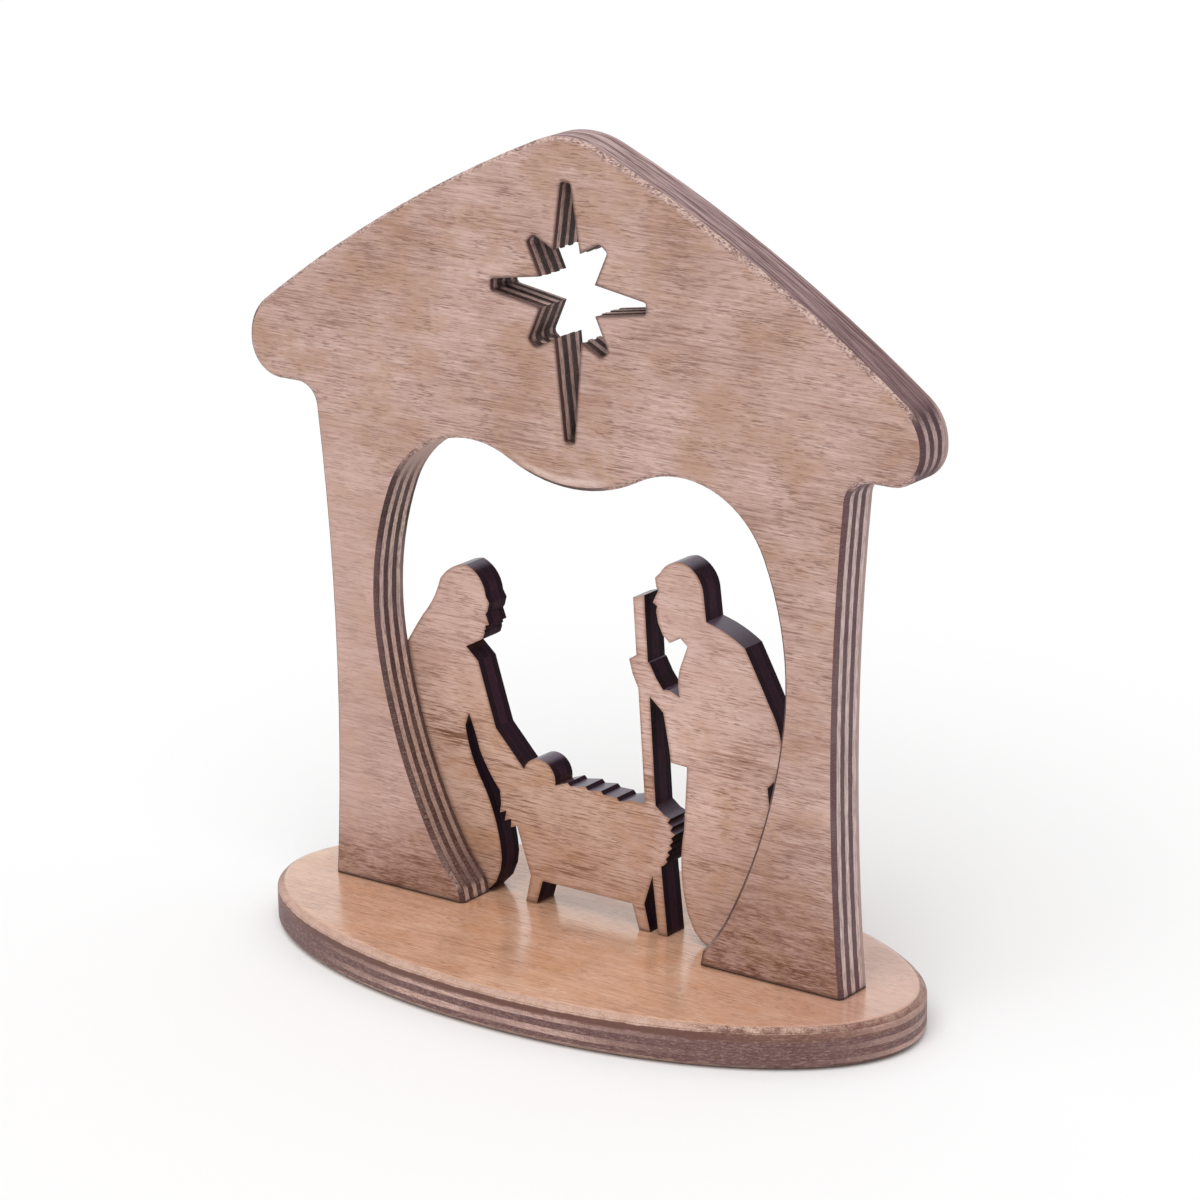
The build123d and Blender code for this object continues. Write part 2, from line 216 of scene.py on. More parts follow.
# Varnished birch of the base, and its rim
BASE_FACE = dict(dark=paint(179, 132, 104), middle=paint(214, 168, 139), light=paint(228, 187, 160),
                 warm=paint(207, 152, 114), pore=paint(140, 94, 68))
BASE_PINK = paint(188, 138, 130)
RIM_LIGHT, RIM_GLUE = paint(206, 170, 157), paint(76, 50, 48)
RIM_DARK, RIM_DARK_ABOVE = paint(88, 53, 54), paint(104, 62, 49)
RIM_FRONT_STAIN = paint(98, 62, 52)
# The rim's pale band: sanding wear with a painted highlight
RIM_PALE_WEAR_AND_HIGHLIGHT, RIM_CHIP, RIM_GRIT = paint(224, 190, 173), paint(196, 156, 137), paint(120, 84, 72)
# Painted shade in the corners where boards stand on the base
BASE_CORNER_SHADE = paint(96, 62, 46)

# Tan birch of the figures, low on the left, low on the right and in the upper part, and their char
FIGURES_DARK_LEFT, FIGURES_DARK_RIGHT = paint(122, 85, 66), paint(152, 115, 99)
FIGURES_DARK_UPPER = paint(177, 142, 129)
FIGURES_MIDDLE, FIGURES_MIDDLE_PINK = paint(204, 170, 154), paint(207, 174, 163)
FIGURES_LIGHT, FIGURES_LIGHT_PINK = paint(218, 188, 173), paint(222, 193, 182)
FIGURES_WARM, FIGURES_WARM_UPPER = paint(190, 149, 121), paint(199, 165, 151)
FIGURES_PORE, FIGURES_PORE_UPPER = paint(104, 67, 50), paint(134, 97, 81)
FIGURES_FOOT = paint(172, 130, 104)
FIGURES_SINGE = paint(126, 84, 60)
CHAR = dict(light=paint(56, 28, 42), dark=paint(26, 9, 20), glue=paint(64, 36, 44))
# A painted sheen on the char where it faces up
CHAR_TOP_SHEEN = paint(88, 70, 92)
# Painted shade in the corners where the figures meet another board
FIGURES_CORNER_SHADE = paint(84, 56, 46)

TENON_FACE = dict(dark=paint(196, 164, 124), middle=paint(214, 186, 148), light=paint(228, 204, 170),
                  warm=paint(206, 168, 122), pore=paint(160, 124, 88))


def periods(along, across, through):
    """How often a pattern repeats per metre, from its length in millimetres each way."""
    return (1 / (along * MM), 1 / (across * MM), 1 / (through * MM))


class Wiring:
    """Places nodes in one node tree and joins them, so that a finish reads as a list of steps."""

    def __init__(self, tree):
        self.tree = tree

    def feed(self, socket, value):
        if isinstance(value, bpy.types.NodeSocket):
            self.tree.links.new(value, socket)
        else:
            socket.default_value = value

    def place(self, kind, inputs=None, **settings):
        node = self.tree.nodes.new(kind)
        for name, value in settings.items():
            setattr(node, name, value)
        for socket, value in (inputs or {}).items():
            self.feed(node.inputs[socket], value)
        return node

    def maths(self, operation, *values):
        return self.place("ShaderNodeMath", dict(enumerate(values)), operation=operation).outputs[0]

    def product(self, *values):
        result = values[0]
        for value in values[1:]:
            result = self.maths("MULTIPLY", result, value)
        return result

    def total(self, *values):
        result = values[0]
        for value in values[1:]:
            result = self.maths("ADD", result, value)
        return result

    def rest(self, value):
        """What is left of 1."""
        return self.maths("SUBTRACT", 1.0, value)

    def vector(self, operation, *values):
        node = self.place("ShaderNodeVectorMath", dict(enumerate(values)), operation=operation)
        return node.outputs["Value" if operation in ("DOT_PRODUCT", "LENGTH") else "Vector"]

    def scaled(self, vector, scale):
        sockets = {0: vector, "Scale": scale}
        return self.place("ShaderNodeVectorMath", sockets, operation="SCALE").outputs["Vector"]

    def parts(self, vector):
        return self.place("ShaderNodeSeparateXYZ", {0: vector}).outputs

    def joined(self, x, y, z):
        return self.place("ShaderNodeCombineXYZ", {0: x, 1: y, 2: z}).outputs[0]

    def ease(self, value, start, end):
        """0 before start, 1 after end, and smooth between them; start may be the larger one."""
        sockets = {"Value": value, "From Min": start, "From Max": end}
        node = self.place("ShaderNodeMapRange", sockets, interpolation_type="SMOOTHSTEP")
        return node.outputs["Result"]

    def noise(self, place, repeats, detail=2.0, roughness=0.5):
        """Smooth random values about 0.5, with this many repeats per metre each way."""
        sockets = {"Vector": self.vector("MULTIPLY", place, repeats), "Scale": 1.0, "Detail": detail,
                   "Roughness": roughness}
        return self.place("ShaderNodeTexNoise", sockets, noise_dimensions="3D").outputs["Fac"]

    def blend(self, share, first, second):
        """The first colour where share is 0, the second where it is 1."""
        return self.place("ShaderNodeMix", {0: share, 6: first, 7: second}, data_type="RGBA").outputs[2]

    def between(self, share, first, second):
        """The same for plain values."""
        return self.place("ShaderNodeMix", {0: share, 2: first, 3: second}, data_type="FLOAT").outputs[0]


def new_group(name, tree_kind, inputs, outputs):
    """An empty node group with these named sockets: its wiring, its inputs and its outputs."""
    tree = bpy.data.node_groups.new(name, tree_kind)
    for way, sockets in (("INPUT", inputs), ("OUTPUT", outputs)):
        for socket, kind in sockets.items():
            tree.interface.new_socket(socket, in_out=way, socket_type="NodeSocket" + kind)
    w = Wiring(tree)
    return w, w.place("NodeGroupInput").outputs, w.place("NodeGroupOutput").inputs


def star_nearness(w, place):
    """About 1 at the tips of the star, less inside it and more outside it."""
    low_middle = STAR_MIDDLE - Vector((0.0, 0.0, STAR_LOW))
    spread = w.vector("MULTIPLY", w.vector("SUBTRACT", place, low_middle), STAR_SPREAD)
    return w.vector("DOT_PRODUCT", w.vector("ABSOLUTE", spread), (1.0, 1.0, 1.0))


def depth_in_circle(w, place, middle, radius):
    """How far a place lies inside a circle on the face of the stable board."""
    across = w.vector("MULTIPLY", w.vector("SUBTRACT", place, middle), ON_THE_FACE)
    return w.maths("SUBTRACT", radius, w.vector("LENGTH", across))


def birch_face_group():
    """Rotary cut birch: short streaks and dark pores along the grain, soft clouds and warm patches."""
    inputs = {"Grain Place": "Vector", "Dark": "Color", "Middle": "Color", "Light": "Color",
              "Warm": "Color", "Pore": "Color"}
    outputs = {"Color": "Color", "Height": "Float", "Cloud": "Float"}
    w, given, result = new_group("birch face", "ShaderNodeTree", inputs, outputs)
    place = given["Grain Place"]
    cloud = w.noise(place, periods(20.0, 11.0, 13.0), 4.0, 0.6)
    patch = w.noise(place, periods(13.0, 8.0, 9.0), 3.0, 0.6)
    line = w.noise(place, periods(17.0, 0.36, 2.0), 2.0, 0.6)
    streak = w.noise(place, periods(4.5, 0.3, 1.0), 3.0, 0.65)
    pore_field = w.noise(place, periods(2.4, 0.2, 0.6), 1.0, 0.5)
    crowd = w.between(w.ease(w.noise(place, periods(8.0, 4.0, 5.0), 3.0), 0.36, 0.64), 0.2, 0.6)
    pore = w.product(w.ease(pore_field, 0.53, 0.65), crowd)
    tone = w.total(w.product(streak, 0.34), w.product(line, 0.31), w.product(cloud, 0.35))
    colour = w.blend(w.ease(tone, 0.39, 0.5), given["Dark"], given["Middle"])
    colour = w.blend(w.ease(tone, 0.5, 0.61), colour, given["Light"])
    colour = w.blend(w.product(w.ease(patch, 0.46, 0.68), 0.65), colour, given["Warm"])
    w.feed(result["Color"], w.blend(pore, colour, given["Pore"]))
    w.feed(result["Height"], w.maths("SUBTRACT", streak, w.product(pore, 0.6)))
    w.feed(result["Cloud"], cloud)
    return w.tree


def plywood_edge_group():
    """The cut edge of plywood: crossed veneers, light along the grain and dark on end grain."""
    inputs = {"Place": "Vector", "Normal": "Vector", "Face Axis": "Vector", "Cross Axis": "Vector",
              "Depth": "Float", "Face Veneer": "Float", "Core Veneer": "Float", "Wear": "Float",
              "Turn Start": "Float", "Turn End": "Float",
              "Light": "Color", "Dark": "Color", "Glue": "Color"}
    outputs = {"Color": "Color", "Height": "Float", "Facing": "Float", "Across Grain": "Float"}
    w, given, result = new_group("plywood edge", "ShaderNodeTree", inputs, outputs)
    place = given["Place"]
    on_face = w.vector("DOT_PRODUCT", given["Normal"], given["Face Axis"])
    flat = w.vector("SUBTRACT", given["Normal"], w.scaled(given["Face Axis"], on_face))
    edge_normal = w.vector("NORMALIZE", flat)
    on_x = w.maths("ABSOLUTE", w.vector("DOT_PRODUCT", edge_normal, AXIS_X))
    on_cross = w.maths("ABSOLUTE", w.vector("DOT_PRODUCT", edge_normal, given["Cross Axis"]))

    # Which veneer a place lies in, counted from the first core, with slightly wavering glue lines
    waver = w.noise(place, periods(4.0, 4.0, 4.0), 3.0, 0.6)
    wavering = w.product(w.maths("SUBTRACT", waver, 0.5), 0.45 * MM)
    into_board = w.maths("SUBTRACT", w.total(given["Depth"], wavering), given["Face Veneer"])
    count = w.maths("DIVIDE", into_board, given["Core Veneer"])
    grain_on_x = w.maths("FLOORED_MODULO", w.maths("FLOOR", count), 2.0)

    # Fibres along the veneer's own grain, and how much of its end grain the cut shows
    fibre_length = 1 / (3.5 * MM)
    fibre_width = 1 / (0.24 * MM)
    slim = (fibre_width, fibre_width, fibre_width)
    fibre_x = w.noise(place, (fibre_length, fibre_width, fibre_width), 3.0, 0.6)
    stretch = w.scaled(given["Cross Axis"], fibre_length - fibre_width)
    fibre_cross = w.noise(place, w.vector("ADD", slim, stretch), 3.0, 0.6)
    fibre = w.between(grain_on_x, fibre_cross, fibre_x)
    end_grain = w.between(grain_on_x, w.ease(on_cross, 0.2, 0.82),
                          w.ease(on_x, given["Turn Start"], given["Turn End"]))

    # Stain in the long grain, paler specks in the end grain, then scuffs, grit and the glue lines
    scratch_stretch = w.scaled(given["Face Axis"], 1 / (5.0 * MM) - fibre_width)
    scratch = w.noise(place, w.vector("ADD", slim, scratch_stretch), 2.0, 0.6)
    scuff = w.product(w.ease(scratch, 0.48, 0.7), given["Wear"], 0.4)
    rub = w.noise(place, periods(24.0, 24.0, 10.0), 4.0, 0.65)
    rubbed = w.product(w.ease(rub, 0.42, 0.62), given["Wear"])
    speck = w.ease(fibre, 0.36, 0.6)
    smear = w.ease(w.noise(place, periods(9.0, 9.0, 9.0), 3.0, 0.6), 0.35, 0.7)
    stained = w.maths("MAXIMUM", w.product(w.rest(speck), 0.55), w.product(rubbed, 0.7))
    long_colour = w.blend(stained, given["Light"], given["Dark"])
    paler = w.product(w.total(speck, smear), 0.06)
    end_colour = w.blend(paler, given["Dark"], given["Light"])
    colour = w.blend(scuff, w.blend(end_grain, long_colour, end_colour), given["Dark"])
    grit = w.ease(w.noise(place, periods(1.1, 1.1, 0.32), 4.0, 0.75), 0.46, 0.68)
    colour = w.blend(w.product(grit, given["Wear"], 0.42), colour, given["Light"])
    step = w.maths("FRACT", count)
    to_glue = w.product(w.maths("MINIMUM", step, w.rest(step)), given["Core Veneer"])
    colour = w.blend(w.product(w.ease(to_glue, 0.14 * MM, 0.03 * MM), 0.5), colour, given["Glue"])
    w.feed(result["Color"], colour)
    w.feed(result["Height"], fibre)
    w.feed(result["Facing"], w.maths("ABSOLUTE", on_face))
    w.feed(result["Across Grain"], on_x)
    return w.tree


def sanded_band_group():
    """The torn band that sanding leaves along an eased edge: pale flecks and darker chips."""
    inputs = {"Place": "Vector", "Facing": "Float", "Share": "Float", "Fineness": "Float", "Pale": "Color",
              "Chip": "Color", "Edge": "Color"}
    outputs = {"Color": "Color", "Height": "Float"}
    w, given, result = new_group("sanded band", "ShaderNodeTree", inputs, outputs)
    chip = w.noise(w.scaled(given["Place"], given["Fineness"]), periods(0.9, 0.3, 0.3), 4.0, 0.7)
    wander = w.noise(given["Place"], periods(3.0, 2.2, 2.2), 3.0, 0.6)
    facing = w.total(given["Facing"], w.product(w.maths("SUBTRACT", wander, 0.5), 0.9))
    band = w.product(w.ease(facing, 0.25, 0.6), given["Share"])
    fleck = w.ease(w.total(chip, w.product(wander, 0.4)), 0.58, 0.8)
    w.feed(result["Color"], w.blend(band, given["Edge"], w.blend(fleck, given["Chip"], given["Pale"])))
    w.feed(result["Height"], w.product(chip, band))
    return w.tree


EFFECTS = {
    "birch face": birch_face_group(),
    "plywood edge": plywood_edge_group(),
    "sanded band": sanded_band_group(),
}


def effect(w, name, **inputs):
    """One of the shared effects, placed in a material with its own values."""
    sockets = {key.replace("_", " ").title(): value for key, value in inputs.items()}
    return w.place("ShaderNodeGroup", sockets, node_tree=EFFECTS[name]).outputs


def new_finish(name):
    """A material with a bare Principled shader: it, its wiring, the shader, the place and the normal."""
    material = bpy.data.materials.new(name)
    material.use_nodes = True
    material.node_tree.nodes.clear()
    w = Wiring(material.node_tree)
    shader = w.place("ShaderNodeBsdfPrincipled")
    w.place("ShaderNodeOutputMaterial", {"Surface": shader.outputs["BSDF"]})
    coordinates = w.place("ShaderNodeTexCoord")
    return material, w, shader, coordinates.outputs["Object"], coordinates.outputs["Normal"]


def relief(w, shader, height, depth):
    """Raises and lowers the surface by a height map."""
    bump = w.place("ShaderNodeBump", {"Height": height, "Strength": 1.0, "Distance": depth})
    w.feed(shader.inputs["Normal"], bump.outputs["Normal"])


def edge_halo(w, reach):
    """1 right at the board's own edges, falling to 0 over the reach."""
    node = w.place("ShaderNodeAmbientOcclusion", {"Distance": reach}, inside=True, only_local=True,
                   samples=8)
    return w.ease(node.outputs["AO"], 0.98, 0.55)


def contact(w, reach):
    """1 in the corners where another board stands close, falling to 0 over the reach: where painted shade
    goes.
    """
    node = w.place("ShaderNodeAmbientOcclusion", {"Distance": reach}, samples=8)
    return w.ease(node.outputs["AO"], 0.88, 0.45)


def upright_grain(w, place):
    """Grain that runs across an upright board: along, across and through it."""
    along = w.parts(place)
    return w.joined(along["X"], along["Z"], along["Y"]), along


def stable_board_finish():
    """Pinkish brown stain on the faces, darker at the feet, with striped edges."""
    material, w, shader, place, normal = new_finish("stained_stable_board")
    grain_place, along = upright_grain(w, place)
    facing_up = w.parts(normal)["Z"]

    # The faces: birch, a paler left post and a blotchy stain that climbs from the feet
    face = effect(w, "birch face", grain_place=grain_place, **STABLE_FACE)
    pale_post = w.product(w.ease(along["X"], *PALE_POST_ACROSS), w.ease(along["Z"], *PALE_POST_UP), 0.4)
    pale_face = w.blend(pale_post, face["Color"], PALE_POST)
    blotch = w.ease(w.noise(place, periods(15.0, 15.0, 3.5), 6.0, 0.75), 0.32, 0.62)
    fleck = w.ease(w.noise(grain_place, periods(2.4, 0.34, 1.0), 3.0, 0.65), 0.38, 0.62)
    stain_top = w.between(w.ease(along["X"], *DEEPER_STAIN_ACROSS), BASE_TOP + FOOT_STAIN_LEFT,
                          BASE_TOP + FOOT_STAIN_RIGHT)
    foot = w.product(w.ease(along["Z"], stain_top, BASE_TOP + FOOT_STAIN_FULL),
                     w.between(blotch, 0.3, 1.0), w.between(fleck, 0.3, 1.0))
    face_colour = w.blend(foot, pale_face, FOOT_STAIN)

    # The singed line along the edges, stronger round the star
    at_star = w.ease(star_nearness(w, place), STAR_BORDER + STAR_BORDER_BLUR,
                     STAR_BORDER - STAR_BORDER_BLUR)
    off_star = w.rest(at_star)
    singe = w.ease(w.noise(place, periods(2.0, 2.0, 2.0), 3.0, 0.65), 0.3, 0.65)
    halo = w.product(edge_halo(w, SCORCH_REACH), w.between(at_star, w.product(singe, 0.5), 0.75))
    face_colour = w.blend(halo, face_colour, w.blend(at_star, EDGE_SINGE, STAR_SINGE))

    # The pale place beside the dip of the opening: sanded wear, with a painted highlight where the rounded
    # edge catches the light
    from_dip_middle = w.maths("ABSOLUTE", w.maths("ADD", along["X"], DIP_SANDED_LEFT))
    at_dip = w.product(w.ease(from_dip_middle, DIP_HALF_WIDTH * 0.9, DIP_HALF_WIDTH * 0.35),
                       w.ease(along["Z"], DIP_TOP + DIP_FADE, DIP_TOP))
    from_dip = depth_in_circle(w, place, DIP_MIDDLE, DIP_RADIUS)
    sanded_highlight = w.product(at_dip,
                       w.ease(from_dip, DIP_SANDED + DIP_SANDED_BLUR, DIP_SANDED - DIP_SANDED_BLUR),
                       w.ease(from_dip, DIP_EDGE, DIP_SANDED - DIP_SANDED_BLUR),
                       w.between(singe, 0.35, 0.75))
    face_colour = w.blend(sanded_highlight, face_colour, DIP_SANDED_HIGHLIGHT)

    # The torn front edge of the right slope
    near_slope = w.ease(depth_in_circle(w, place, SLOPE_MIDDLE, SLOPE_RADIUS), TORN_WIDTH, TORN_FULL)
    along_slope = w.product(w.ease(along["X"], TORN_FROM - TORN_FADE, TORN_FROM),
                            w.ease(along["X"], TORN_TO, TORN_TO - TORN_FADE))
    tear = effect(w, "sanded band", place=place, facing=near_slope, share=w.product(along_slope, 0.85),
                  fineness=1.4, pale=TEAR_PALE, chip=TEAR_CHIP, edge=face_colour)

    # The striped edges, with their own colours outside, at the eaves (darker there as painted shade), in
    # the opening and in the star
    from_middle = w.maths("ABSOLUTE", along["X"])
    inside = w.ease(from_middle, *BETWEEN_POSTS)
    at_eave = w.ease(from_middle, *EAVE_ENDS)
    in_opening = w.product(inside, w.ease(along["Z"], *OPENING_UP))
    low_wall = w.product(in_opening, w.ease(along["Z"], *LOW_WALL_UP))
    light_ply = w.blend(inside, w.blend(at_eave, OUTSIDE_LIGHT, EAVE_SHADED_LIGHT_PLY),
                        w.blend(low_wall, INSIDE_LIGHT, LOW_WALL_LIGHT))
    dark_ply = w.blend(inside, w.blend(at_eave, OUTSIDE_DARK, EAVE_SHADED_DARK_PLY),
                       w.blend(low_wall, INSIDE_DARK, LOW_WALL_DARK))
    edge = effect(w, "plywood edge", place=place, normal=normal, face_axis=AXIS_Y, cross_axis=AXIS_Z,
                  depth=w.maths("SUBTRACT", along["Y"], STABLE_FRONT),
                  face_veneer=STABLE_FRONT_GLUE - STABLE_FRONT,
                  core_veneer=STABLE_CORE_END - STABLE_CORE_START, wear=w.between(low_wall, 0.15, 0.45),
                  light=w.blend(at_star, light_ply, STAR_LIGHT),
                  dark=w.blend(at_star, dark_ply, STAR_DARK), glue=STABLE_GLUE, **PLAIN_TURN)
    worn_back = w.product(w.ease(along["Y"], STABLE_BACK - WORN_BACK_START, STABLE_BACK - WORN_BACK_END),
                          off_star, w.rest(in_opening))
    edge_colour = w.blend(w.product(worn_back, 0.7), edge["Color"], WORN_BACK)
    overhead = w.product(in_opening, w.ease(facing_up, -0.3, -0.75), 0.6)
    edge_colour = w.blend(overhead, edge_colour, OVERHEAD_PALE)
    in_front = w.ease(along["Y"], STABLE_FRONT_GLUE, STABLE_FRONT_GLUE - BURNT_FRONT_BLUR)
    edge_colour = w.blend(w.product(at_star, in_front, 0.85), edge_colour, BURNT_FRONT)

    # Dusty streaks along the roof, the sanded band along the eased edges and the painted shade on the
    # downward-facing edge under the dip
    dust = w.ease(w.noise(place, periods(12.0, 0.5, 12.0), 3.0, 0.6), 0.4, 0.6)
    flatter = w.ease(facing_up, 0.8, 0.94)
    dusty = w.blend(dust, w.blend(flatter, STEEP_DARK, FLAT_DARK), w.blend(flatter, STEEP_PALE, FLAT_PALE))
    on_roof = w.product(w.ease(facing_up, 0.55, 0.9), off_star)
    edge_colour = w.blend(w.product(on_roof, 0.8), edge_colour, dusty)
    torn = w.product(w.ease(edge["Across Grain"], 0.9, 0.65), off_star)
    band = effect(w, "sanded band", place=place, facing=edge["Facing"], share=w.product(torn, 0.85),
                  fineness=1.0, pale=BAND_PALE, chip=BAND_CHIP, edge=edge_colour)
    # Painted shade where the edge under the dip faces down
    under_dip = w.product(at_dip, w.ease(facing_up, -0.1, -0.45), 0.85)
    band_colour = w.blend(under_dip, band["Color"], DIP_UNDERSIDE_SHADE)

    on_face = w.ease(edge["Facing"], 0.86, 0.97)
    colour = w.blend(on_face, band_colour, tear["Color"])
    # Painted shade in the corners where another board stands close
    colour = w.blend(w.product(contact(w, CORNER_REACH), 0.7), colour, CORNER_SHADE)
    # The seam under the stable: a glue line with a painted shadow of the gap
    seam = w.ease(along["Z"], BASE_TOP + SEAM_TOP, BASE_TOP + SEAM_FULL)
    w.feed(shader.inputs["Base Color"], w.blend(w.product(seam, 0.8), colour, SEAM_GLUE_AND_SHADOW))
    w.feed(shader.inputs["Roughness"], w.between(on_face, 0.68, w.between(face["Cloud"], 0.45, 0.62)))
    shader.inputs["Specular IOR Level"].default_value = 0.3
    height = w.between(on_face, w.total(edge["Height"], band["Height"]), face["Height"])
    relief(w, shader, height, STABLE_RELIEF)
    return material


def base_board_finish():
    """Warm satin varnish over the top, a pale rim band of sanding wear with a painted highlight, and
    striped edges.
    """
    material, w, shader, place, normal = new_finish("varnished_base_board")
    along = w.parts(place)
    face = effect(w, "birch face", grain_place=place, **BASE_FACE)
    pinker = w.product(w.ease(along["X"], *PINKER_TOP_ACROSS), 0.4)
    face_colour = w.blend(pinker, face["Color"], BASE_PINK)

    # The striped rim, browner below the top with a ragged border
    rough = w.noise(place, periods(3.0, 3.0, 1.0), 4.0, 0.7)
    ragged = w.product(w.maths("SUBTRACT", rough, 0.5), RAGGED_BORDER)
    under_top = w.ease(w.total(along["Z"], ragged), BASE_TOP - UNDER_TOP_START, BASE_TOP - UNDER_TOP_END)
    edge = effect(w, "plywood edge", place=place, normal=normal, face_axis=AXIS_Z, cross_axis=AXIS_Y,
                  depth=w.maths("SUBTRACT", BASE_TOP, along["Z"]),
                  face_veneer=BASE_TOP - BASE_TOP_GLUE, core_veneer=BASE_CORE_END - BASE_CORE_START,
                  wear=0.8, light=RIM_LIGHT, dark=w.blend(under_top, RIM_DARK, RIM_DARK_ABOVE),
                  glue=RIM_GLUE, **RIM_TURN)
    on_front = w.ease(edge["Across Grain"], 0.55, 0.35)
    edge_colour = w.blend(w.product(under_top, on_front, 0.8), edge["Color"], RIM_FRONT_STAIN)

    # The pale band along the rim, sanding wear with a painted highlight on its rounded top, gritty towards
    # the right end
    gritty = w.product(w.ease(edge["Across Grain"], 0.25, 0.45), w.ease(along["X"], *GRITTY_RIM_ACROSS))
    rim_wear_and_highlight = w.between(w.ease(edge["Across Grain"], 0.55, 0.9), 0.75, 0.3)
    band = effect(w, "sanded band", place=place, share=rim_wear_and_highlight, fineness=1.6, pale=RIM_PALE_WEAR_AND_HIGHLIGHT,
                  facing=w.maths("SUBTRACT", edge["Facing"], w.product(gritty, 0.28)),
                  chip=w.blend(gritty, RIM_CHIP, RIM_GRIT), edge=edge_colour)

    on_face = w.ease(edge["Facing"], 0.9, 0.985)
    colour = w.blend(on_face, band["Color"], face_colour)
    # Painted shade in the corners where the boards stand on the base
    corner_shade = w.product(contact(w, BASE_CORNER_REACH), 0.6)
    w.feed(shader.inputs["Base Color"], w.blend(corner_shade, colour, BASE_CORNER_SHADE))
    w.feed(shader.inputs["Roughness"], w.between(on_face, 0.55, w.between(face["Cloud"], 0.2, 0.3)))
    w.feed(shader.inputs["Coat Weight"], w.product(on_face, 0.75))
    shader.inputs["Coat Roughness"].default_value = 0.17
    height = w.between(on_face, w.total(edge["Height"], band["Height"]), w.product(face["Height"], 0.3))
    relief(w, shader, height, FINE_RELIEF)
    return material


def figures_board_finish():
    """Light tan faces with a scorched outline, and edges charred nearly black."""
    material, w, shader, place, normal = new_finish("laser_cut_figures_board")
    grain_place, along = upright_grain(w, place)

    # The faces: pinker on the right and higher up, darker towards the feet, singed along the cut
    pinker = w.ease(along["X"], *PINKER_FIGURES_ACROSS)
    upper = w.ease(along["Z"], *UPPER_FIGURES_UP)
    low_dark = w.blend(pinker, FIGURES_DARK_LEFT, FIGURES_DARK_RIGHT)
    face = effect(w, "birch face", grain_place=w.vector("ADD", grain_place, FIGURES_GRAIN_SHIFT),
                  dark=w.blend(upper, low_dark, FIGURES_DARK_UPPER),
                  middle=w.blend(w.maths("MAXIMUM", pinker, upper), FIGURES_MIDDLE, FIGURES_MIDDLE_PINK),
                  light=w.blend(pinker, FIGURES_LIGHT, FIGURES_LIGHT_PINK),
                  warm=w.blend(upper, FIGURES_WARM, FIGURES_WARM_UPPER),
                  pore=w.blend(upper, FIGURES_PORE, FIGURES_PORE_UPPER))
    low = w.ease(along["Z"], BASE_TOP + FIGURES_FOOT_TOP, BASE_TOP + FIGURES_FOOT_FULL)
    face_colour = w.blend(w.product(low, 0.34), face["Color"], FIGURES_FOOT)
    singe = w.between(w.noise(place, periods(5.0, 5.0, 5.0), 2.0), 0.1, 0.9)
    halo = w.product(edge_halo(w, SCORCH_REACH), singe)
    face_colour = w.blend(halo, face_colour, FIGURES_SINGE)

    # The charred edges, with a painted sheen on what faces up
    edge = effect(w, "plywood edge", place=place, normal=normal, face_axis=AXIS_Y, cross_axis=AXIS_Z,
                  depth=w.maths("SUBTRACT", along["Y"], FIGURES_FRONT),
                  face_veneer=FIGURES_FRONT_GLUE - FIGURES_FRONT,
                  core_veneer=FIGURES_CORE_END - FIGURES_CORE_START, wear=0.3, **CHAR, **PLAIN_TURN)
    topside = w.ease(w.parts(normal)["Z"], 0.76, 0.97)
    edge_colour = w.blend(w.product(topside, 0.55), edge["Color"], CHAR_TOP_SHEEN)

    on_face = w.ease(edge["Facing"], 0.6, 0.8)
    colour = w.blend(on_face, edge_colour, face_colour)
    # Painted shade in the corners where another board stands close
    corner_shade = w.product(contact(w, CORNER_REACH), 0.6)
    w.feed(shader.inputs["Base Color"], w.blend(corner_shade, colour, FIGURES_CORNER_SHADE))
    w.feed(shader.inputs["Roughness"], w.between(on_face, 0.5, w.between(face["Cloud"], 0.45, 0.62)))
    w.feed(shader.inputs["Coat Weight"], w.product(w.rest(on_face), topside, 0.95))
    shader.inputs["Coat Roughness"].default_value = 0.3
    shader.inputs["Specular IOR Level"].default_value = 0.05
    relief(w, shader, w.between(on_face, edge["Height"], face["Height"]), FINE_RELIEF)
    return material


def tenon_finish():
    """Plain unstained birch, hidden inside the joints."""
    material, w, shader, place, _ = new_finish("plain_tenon_birch")
    along = w.parts(place)
    face = effect(w, "birch face", grain_place=w.joined(along["Z"], along["X"], along["Y"]), **TENON_FACE)
    w.feed(shader.inputs["Base Color"], face["Color"])
    w.feed(shader.inputs["Roughness"], w.between(face["Cloud"], 0.5, 0.7))
    relief(w, shader, face["Height"], FINE_RELIEF)
    return material


def weld_group():
    """Joins the faces of a board along their shared borders."""
    board = {"Geometry": "Geometry"}
    w, given, result = new_group("welded board", "GeometryNodeTree", board, board)
    bare = w.place("GeometryNodeRemoveAttribute", {"Geometry": given["Geometry"], "Name": "custom_normal"})
    welded = w.place("GeometryNodeMergeByDistance", {"Geometry": bare.outputs[0],
                                                     "Distance": WELD_DISTANCE})
    w.feed(result["Geometry"], welded.outputs[0])
    return w.tree


